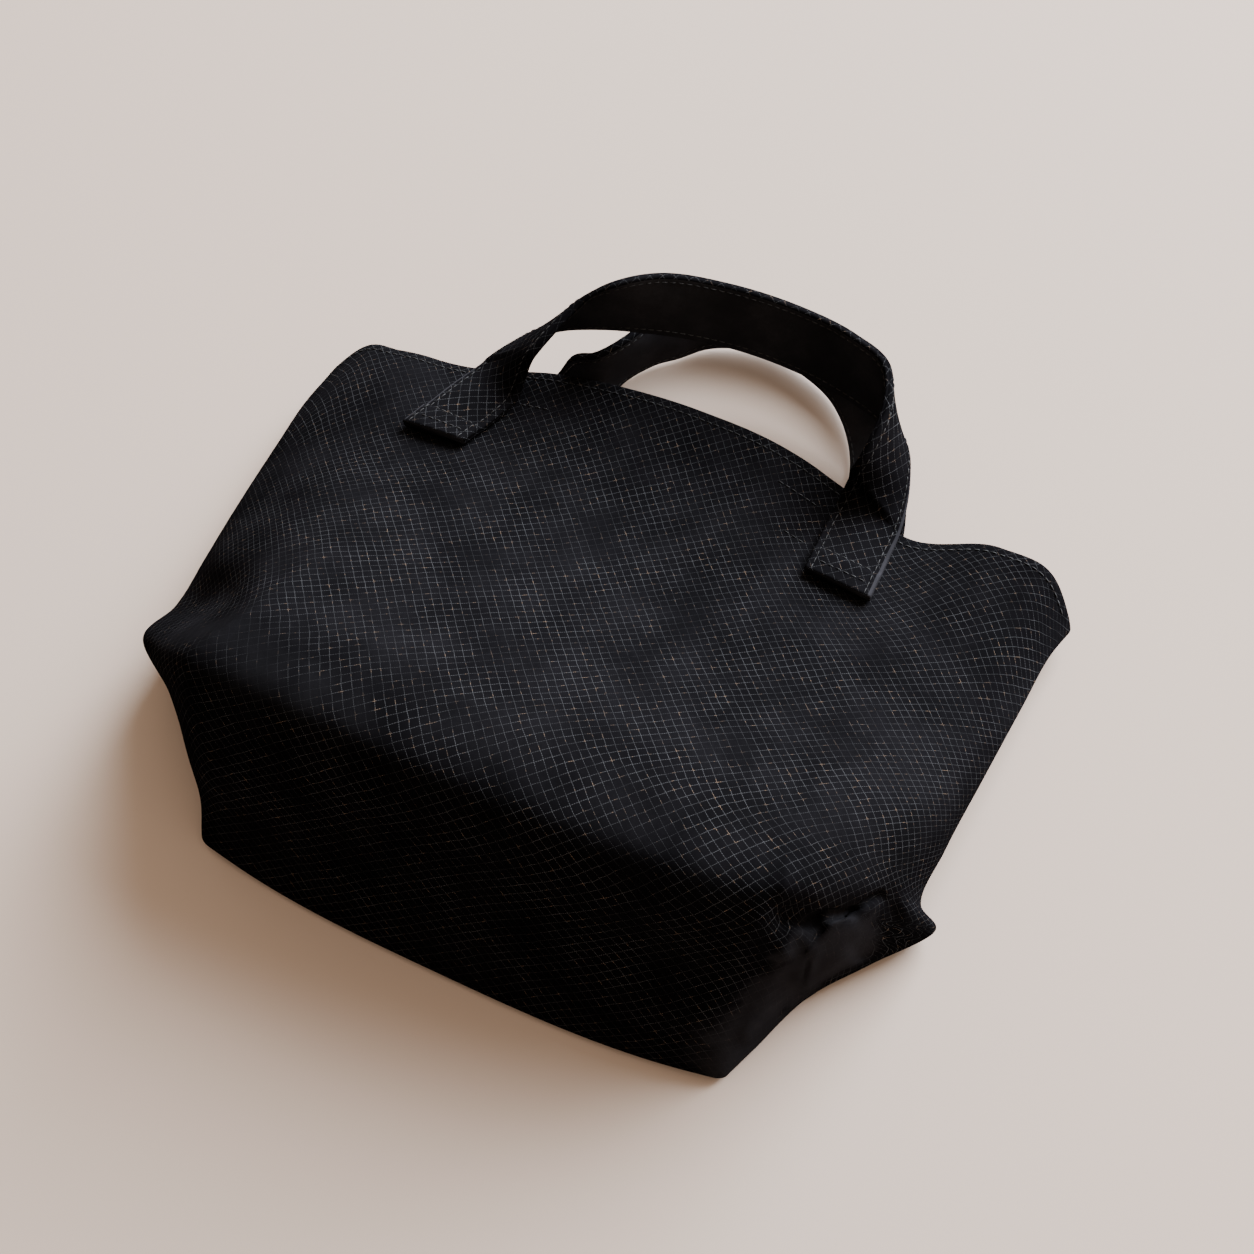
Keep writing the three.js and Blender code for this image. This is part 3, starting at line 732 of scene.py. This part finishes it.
def axesOf(tree, place):
    apart = tree.nodes.new("ShaderNodeSeparateXYZ")
    tree.links.new(place, apart.inputs[0])
    return apart.outputs


def latticeGroup():
    # two families of lines at right angles, turned by the angle, each broken into dots and dashes
    tree, start, end = newGroup(
        "latticeLines",
        [("Place", "NodeSocketVector", None), ("Pitch", "NodeSocketFloat", lattice["pitch"]),
         ("Width", "NodeSocketFloat", lattice["width"]), ("Angle", "NodeSocketFloat", lattice["angle"]),
         ("Worn", "NodeSocketFloat", lattice["worn"])],
        [("Lines", "NodeSocketFloat"), ("Bright", "NodeSocketFloat"), ("Copper", "NodeSocketFloat")],
    )
    place, pitch, width, angle, worn = (start.outputs[k] for k in range(5))
    u, v = axesOf(tree, place)[:2]
    cos, sin = calc(tree, "COSINE", angle), calc(tree, "SINE", angle)
    drift = calc(tree, "SUBTRACT", noise(tree, place, *lattice["wobbleNoise"]), 0.5)
    wobble = calc(tree, "MULTIPLY", drift, lattice["wobble"])
    a = calc(tree, "SUBTRACT", calc(tree, "MULTIPLY", v, cos), calc(tree, "MULTIPLY", u, sin))
    b = calc(tree, "ADD", calc(tree, "MULTIPLY", u, cos), calc(tree, "MULTIPLY", v, sin))
    patches = noise(tree, place, *lattice["patchNoise"])
    faint = ramp(tree, noise(tree, place, *lattice["faintNoise"]), *lattice["faintSpan"])
    specks = calc(tree, "MULTIPLY", noise(tree, place, *lattice["speckNoise"]), lattice["specks"])
    half = calc(tree, "DIVIDE", width, 2.0)
    masks = []
    for across, run in ((a, b), (b, a)):
        cell = calc(tree, "FRACT", calc(tree, "DIVIDE", calc(tree, "ADD", across, wobble), pitch))
        off = calc(tree, "MULTIPLY", calc(tree, "ABSOLUTE", calc(tree, "SUBTRACT", cell, 0.5)), pitch)
        line = ramp(tree, off, half, calc(tree, "MULTIPLY", half, lattice["softEdge"]))
        dash = calc(tree, "SINE", calc(tree, "MULTIPLY", run, 2 * math.pi / lattice["dash"]))
        broken = ramp(tree, calc(tree, "ADD", dash, specks), *lattice["dashSpan"])
        kept = calc(tree, "MULTIPLY", broken, lattice["dashShare"])
        masks.append(calc(tree, "MULTIPLY", line, calc(tree, "ADD", kept, 1 - lattice["dashShare"])))
    lines = calc(tree, "MAXIMUM", *masks)
    below, above = lattice["wornSpan"]
    wornFrom, wornTo = calc(tree, "SUBTRACT", worn, below), calc(tree, "ADD", worn, above)
    kept = ramp(tree, patches, wornFrom, wornTo, lattice["leastKept"], 1.0)
    bright = calc(tree, "MULTIPLY", calc(tree, "MULTIPLY", lines, kept), faint)
    coppery = ramp(tree, noise(tree, place, *lattice["copperNoise"]), *lattice["copperSpan"])
    copper = calc(tree, "MULTIPLY", bright, coppery)
    for value, socket in zip((lines, bright, copper), end.inputs):
        tree.links.new(value, socket)
    return tree


suede = {
    "fineNoise": (4200.0, 2.0, 0.7),
    "grainNoise": (900.0, 3.0, 0.6),
    "wideNoise": (38.0, 4.0, 0.6),
    "wideSpan": (0.3, 0.75),
    "grainShare": 0.8,
    "grainBase": 0.3,
}


def suedeGroup():
    # short nap and faint grain: a height for the bump, and a mask of lighter rubbed places
    tree, start, end = newGroup(
        "suedeNap",
        [("Place", "NodeSocketVector", None)],
        [("Height", "NodeSocketFloat"), ("Rubbed", "NodeSocketFloat")],
    )
    place = start.outputs[0]
    fine, grain = noise(tree, place, *suede["fineNoise"]), noise(tree, place, *suede["grainNoise"])
    height = calc(tree, "ADD", calc(tree, "MULTIPLY", fine, 0.5), calc(tree, "MULTIPLY", grain, 0.5))
    wide = ramp(tree, noise(tree, place, *suede["wideNoise"]), *suede["wideSpan"])
    grainy = calc(tree, "ADD", calc(tree, "MULTIPLY", grain, suede["grainShare"]), suede["grainBase"])
    tree.links.new(height, end.inputs[0])
    tree.links.new(calc(tree, "MULTIPLY", wide, grainy), end.inputs[1])
    return tree


def newMaterial(name):
    material = bpy.data.materials.new(name)
    material.use_nodes = True
    tree = material.node_tree
    shader = tree.nodes["Principled BSDF"]
    return material, tree, shader


def placeGroup(tree, group, vector):
    node = tree.nodes.new("ShaderNodeGroup")
    node.node_tree = group
    tree.links.new(vector, node.inputs["Place"])
    return node


def addBump(tree, shader, height, depth):
    bump = tree.nodes.new("ShaderNodeBump")
    bump.inputs["Strength"].default_value = finish["bump"]
    bump.inputs["Distance"].default_value = depth
    tree.links.new(height, bump.inputs["Height"])
    tree.links.new(bump.outputs[0], shader.inputs["Normal"])


# colours, with painted shade and painted light on the leather, and how the leather and thread are worn:
# lengths and depths in metres
finish = {
    "black": (0.0046, 0.0044, 0.0052, 1),
    "rubbed": (0.0100, 0.0095, 0.0112, 1),
    "baldDark": (0.0130, 0.0126, 0.0146, 1),
    "baldLight": (0.0230, 0.0224, 0.0256, 1),
    "ridgeShadeShare": 0.55,  # painted shade: the rubbed ridge's colour, darkened against the rubbed corner's where the ridge takes the light
    "cornerFrom": (0.080, 0.100),
    # painted light: the straps' plain inner face is paler than the latticed leather, standing in for light
    # and sheen on its shaded side
    "plainPaintedLightBlack": (0.0210, 0.0207, 0.0240, 1),
    "plainPaintedLightRubbed": (0.0460, 0.0450, 0.0520, 1),
    "line": (0.085, 0.087, 0.093, 1),
    "copper": (0.22, 0.15, 0.10, 1),
    "thread": (0.035, 0.035, 0.037, 1),
    "paintedBaseShade": 0.62,  # painted shade: the base's colour, against the panel's, darkened where the base faces away from the light
    "paintedBaseShadeFrom": (0.092, 0.110),
    "specular": 0.0,
    "rough": 0.62,
    "lineRough": 0.5,
    "lineRaised": 1.6,
    "bump": 0.5,
    "napDepth": 0.00012,
    "threadRough": 0.6,
    "threadWornNoise": (600.0, 2.0),
    "threadWornSpan": (0.35, 0.7),
    "twistNoise": (5000.0, 1.0),
    "twistDepth": 0.0001,
    "raggedNoise": (90.0, 3.0, 0.6),
    "ragged": 0.022,
    "leastShown": 0.12,  # of the lattice in the rubbed places
}

# places where the lattice is rubbed away: x, y, z, how far it stays away, and how far off it is whole
rubbedSpots = [
    (0.124, -0.049, 0.032, 0.015, 0.024), (0.117, -0.062, 0.026, 0.013, 0.023),
    (0.111, -0.084, 0.010, 0.012, 0.026), (-0.115, -0.036, 0.075, 0.004, 0.020),
    (-0.100, -0.033, 0.084, 0.003, 0.016), (-0.085, -0.036, 0.088, 0.003, 0.017),
    (-0.068, -0.040, 0.091, 0.002, 0.016), (-0.050, -0.043, 0.092, 0.0, 0.015),
    (-0.030, -0.046, 0.092, -0.004, 0.013),
]


def awayFromSpots(tree, place):
    # 1 where the lattice shows in full, and next to nothing in the rubbed spots, whose edges are ragged
    shown = 1.0
    uneven = calc(tree, "SUBTRACT", noise(tree, place, *finish["raggedNoise"]), 0.5)
    ragged = calc(tree, "MULTIPLY", uneven, finish["ragged"])
    for x, y, z, start, end in rubbedSpots:
        far = tree.nodes.new("ShaderNodeVectorMath")
        far.operation = "DISTANCE"
        wire(tree, place, far.inputs[0])
        wire(tree, (x, y, z), far.inputs[1])
        away = calc(tree, "ADD", far.outputs["Value"], ragged)
        shown = calc(tree, "MULTIPLY", ramp(tree, away, start, end, finish["leastShown"], 1.0), shown)
    return shown


def latticedColour(tree, place, nap, colour, height):
    # the body's leather: a base darkened by painted shade, rubbed spots with painted light and shade, and
    # worn lines over the plain nap
    black = (0, 0, 0, 1)
    flat = tree.nodes.new("ShaderNodeUVMap")
    flat.uv_map = "flatLeather"
    lines = placeGroup(tree, latticeLines, flat.outputs[0])
    shown = awayFromSpots(tree, place)
    # painted shade: the base is drawn darker than the front panel, where it faces away from the light
    nearRim = ramp(tree, axesOf(tree, flat.outputs[0])[1], *finish["paintedBaseShadeFrom"])
    paintedBaseShade = mixColour(tree, finish["paintedBaseShade"], black, colour)
    colour = mixColour(tree, nearRim, paintedBaseShade, colour)
    # painted light and shade: the rubbed right corner is painted paler than the rubbed ridge, lifting the
    # shaded corner and darkening the lit ridge; the rubbed spots themselves are wear
    paintedLightCorner = ramp(tree, axesOf(tree, place)[0], *finish["cornerFrom"])
    bald = mixColour(tree, nap.outputs["Rubbed"], finish["baldDark"], finish["baldLight"])
    ridgeWithPaintedShade = mixColour(tree, finish["ridgeShadeShare"], black, bald)
    bald = mixColour(tree, paintedLightCorner, ridgeWithPaintedShade, bald)
    colour = mixColour(tree, calc(tree, "SUBTRACT", 1.0, shown), colour, bald)
    for output, tone in (("Bright", "line"), ("Copper", "copper")):
        share = calc(tree, "MULTIPLY", lines.outputs[output], shown)
        colour = mixColour(tree, share, colour, finish[tone])
    rough = ramp(tree, lines.outputs["Bright"], 0.0, 1.0, finish["rough"], finish["lineRough"])
    raised = calc(tree, "MULTIPLY", lines.outputs["Lines"], shown)
    height = calc(tree, "ADD", height, calc(tree, "MULTIPLY", raised, finish["lineRaised"]))
    return colour, rough, height


def leatherMaterial(name, latticed):
    material, tree, shader = newMaterial(name)
    place = tree.nodes.new("ShaderNodeTexCoord").outputs["Object"]
    nap = placeGroup(tree, suedeNap, place)
    # the plain face has no lattice, and its paler colours are painted light
    dark, light = ("black", "rubbed") if latticed else ("plainPaintedLightBlack", "plainPaintedLightRubbed")
    colour = mixColour(tree, nap.outputs["Rubbed"], finish[dark], finish[light])
    height, rough = nap.outputs["Height"], finish["rough"]
    if latticed:
        colour, rough, height = latticedColour(tree, place, nap, colour, height)
    wire(tree, colour, shader.inputs["Base Color"])
    wire(tree, rough, shader.inputs["Roughness"])
    shader.inputs["Specular IOR Level"].default_value = finish["specular"]
    addBump(tree, shader, height, finish["napDepth"])
    return material


def threadMaterial():
    material, tree, shader = newMaterial("threadGrey")
    place = tree.nodes.new("ShaderNodeTexCoord").outputs["Object"]
    worn = ramp(tree, noise(tree, place, *finish["threadWornNoise"]), *finish["threadWornSpan"])
    wire(tree, mixColour(tree, worn, finish["black"], finish["thread"]), shader.inputs["Base Color"])
    shader.inputs["Roughness"].default_value = finish["threadRough"]
    addBump(tree, shader, noise(tree, place, *finish["twistNoise"]), finish["twistDepth"])
    return material


latticeLines, suedeNap = latticeGroup(), suedeGroup()
bodyLeather = leatherMaterial("latticeLeather", True)
plainPaintedLightLeather = leatherMaterial("plainFaceWithPaintedLight", False)
thread = threadMaterial()
print("materials made")

body, acrossLines, alongLines, frontGrid, backGrid = bagBody(bodyLeather)
strapLeathers = [bodyLeather, plainPaintedLightLeather]
frontStrap, frontRings, frontAt, frontTotal = handleStrap("frontStrap", frontHandle, True, strapLeathers)
backStrap, backRings = handleStrap("backStrap", backHandle, False, strapLeathers)[:2]


# rows of stitches

def rowOnPanel(grid, outward, acrossFrom, acrossTo, along):
    # a row across a panel at one distance along the sheet, with the normals there
    normals = gridNormals(grid) * outward
    j = np.searchsorted(alongLines, along)
    at = np.linspace(acrossFrom, acrossTo, stitch["rowPoints"])
    pick = lambda values: np.stack([np.interp(at, acrossLines, values[:, j, k]) for k in range(3)], axis=-1)
    return pick(grid) + pick(normals) * stitch["proudOnBody"], pick(normals)


def rowsOnStrap(rings):
    # one row along each edge of both faces
    rows = []
    faces = handle["facePoints"]
    half = rings.shape[1] // 2
    for k in (1, faces - 2, half + 1, half + faces - 2):
        path = rings[:, k]
        across = rings[:, faces - 1] - rings[:, 0]
        heading = np.gradient(path, axis=0)
        normal = unit(np.cross(across, heading))
        if k >= half:
            normal = -normal
        rows.append((path + normal * stitch["proudOnStrap"], normal))
    return rows


def rowsAcrossEnds(rings, at, total):
    # rows across the outer face that hold the strap's ends down
    rows = []
    faces = handle["facePoints"]
    inner = slice(stitch["endPointsIn"], faces - stitch["endPointsIn"])
    for away in stitch["endRows"]:
        for place in (away, total - away):
            k = int(np.argmin(np.abs(at - place)))
            heading = rings[k + 1, :faces] - rings[k - 1, :faces]
            normal = unit(np.cross(np.gradient(rings[k, :faces], axis=0), heading))
            rows.append((rings[k, inner] + normal[inner] * stitch["proudOnStrap"], normal[inner]))
    return rows


rimRow = bag["rim"] - stitch["rimIn"]
span = stitch["rimSpan"]
panels = ((frontGrid, 1), (backGrid, -1))
bodyRows = [rowOnPanel(grid, outward, -span, span, rimRow) for grid, outward in panels]
bodyRows += [rowOnPanel(frontGrid, 1, *row) for row in stitch["shortRows"]]
rimStitches = stitchRows("rimStitches", bodyRows, thread)
frontRows = rowsOnStrap(frontRings) + rowsAcrossEnds(frontRings, frontAt, frontTotal)
frontStitches = stitchRows("frontStrapStitches", frontRows, thread)
backStitches = stitchRows("backStrapStitches", rowsOnStrap(backRings), thread)

for piece, node, slotName in (
    (body, "bag_body", "body_leather"), (frontStrap, "front_handle", "handle_leather"),
    (backStrap, "back_handle", "handle_leather"),
):
    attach(piece, "root")
    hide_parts(node)
for piece, slotName in (
    (rimStitches, "body_leather"), (frontStitches, "handle_leather"), (backStitches, "handle_leather"),
):
    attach(piece, "root")


# floor and light
stage = {
    "size": 6.0,
    "colour": (0.84, 0.67, 0.56, 1),
    "rough": 0.9,
    "keyPlace": (0.95, 2.40, 1.30),
    "keySize": 2.1,
    "keyPower": 345,
    "keyColour": (0.80, 0.87, 0.95),
    "sky": (1.0, 0.79, 0.61, 1),
    "skyFrom": (0.45, 0.89, 0.0),  # the way to its brightest side
    "skySpan": (-0.9, 0.9),
    "skyBehind": 1.05,
    "skyInFront": 0.0,
}


def addFloor():
    half = stage["size"] / 2
    mesh = bpy.data.meshes.new("floor")
    corners = [(-half, -half, 0), (half, -half, 0), (half, half, 0), (-half, half, 0)]
    mesh.from_pydata(corners, [], [(0, 1, 2, 3)])
    floor = bpy.data.objects.new("floor", mesh)
    bpy.context.scene.collection.objects.link(floor)
    material, _, shader = newMaterial("paleFloor")
    shader.inputs["Base Color"].default_value = stage["colour"]
    shader.inputs["Roughness"].default_value = stage["rough"]
    mesh.materials.append(material)


def addLight():
    data = bpy.data.lights.new("window", "AREA")
    data.size = stage["keySize"]
    data.energy = stage["keyPower"]
    data.color = stage["keyColour"]
    light = bpy.data.objects.new("window", data)
    place = Vector(stage["keyPlace"])
    turn = place.to_track_quat("Z", "Y").to_matrix().to_4x4()
    light.matrix_world = Matrix.Translation(place) @ turn
    bpy.context.scene.collection.objects.link(light)
    world = bpy.data.worlds.new("room")
    bpy.context.scene.world = world
    world.use_nodes = True
    tree = world.node_tree
    back = tree.nodes["Background"]
    back.inputs[0].default_value = stage["sky"]
    way = tree.nodes.new("ShaderNodeVectorMath")
    way.operation = "DOT_PRODUCT"
    tree.links.new(tree.nodes.new("ShaderNodeTexCoord").outputs["Generated"], way.inputs[0])
    way.inputs[1].default_value = stage["skyFrom"]
    levels = stage["skyInFront"], stage["skyBehind"]
    tree.links.new(ramp(tree, way.outputs["Value"], *stage["skySpan"], *levels), back.inputs[1])


addFloor()
addLight()
print("floor and light set")
